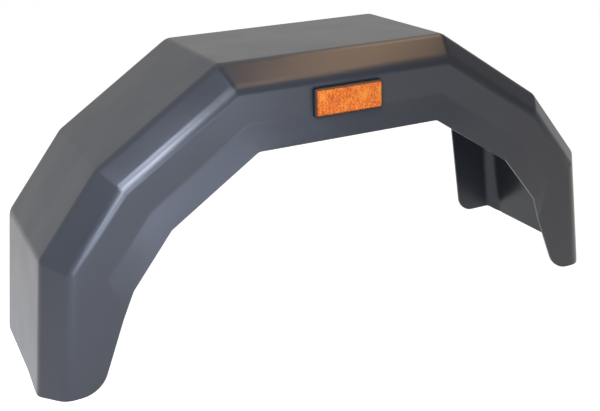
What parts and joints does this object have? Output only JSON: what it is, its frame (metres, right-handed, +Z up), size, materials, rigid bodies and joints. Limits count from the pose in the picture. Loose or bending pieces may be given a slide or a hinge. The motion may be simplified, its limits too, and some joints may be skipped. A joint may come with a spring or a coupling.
{
  "type": "trailer mudguard",
  "caption": "Moulded plastic mudguard with a faceted arch, flat top, open wheel arch on both sides, rounded tabs and an amber stick-on side reflector.",
  "frame": {"origin": "middle of the whole part's footprint, at the height of the front tabs' feet", "axes": "+X along the trailer, -Y towards the road side where the reflector is, +Y towards the chassis, +Z up"},
  "size_m": [0.8494, 0.2504, 0.3805],
  "materials": {
    "shell": "satin",
    "pad": "matte",
    "housing": "satin",
    "lens": "gloss"
  },
  "bodies": {
    "root": {"mudguard_shell": "shell", "adhesive_pad": "pad", "reflector_housing": "housing", "reflector_lens": "lens"}
  },
  "joints": []
}
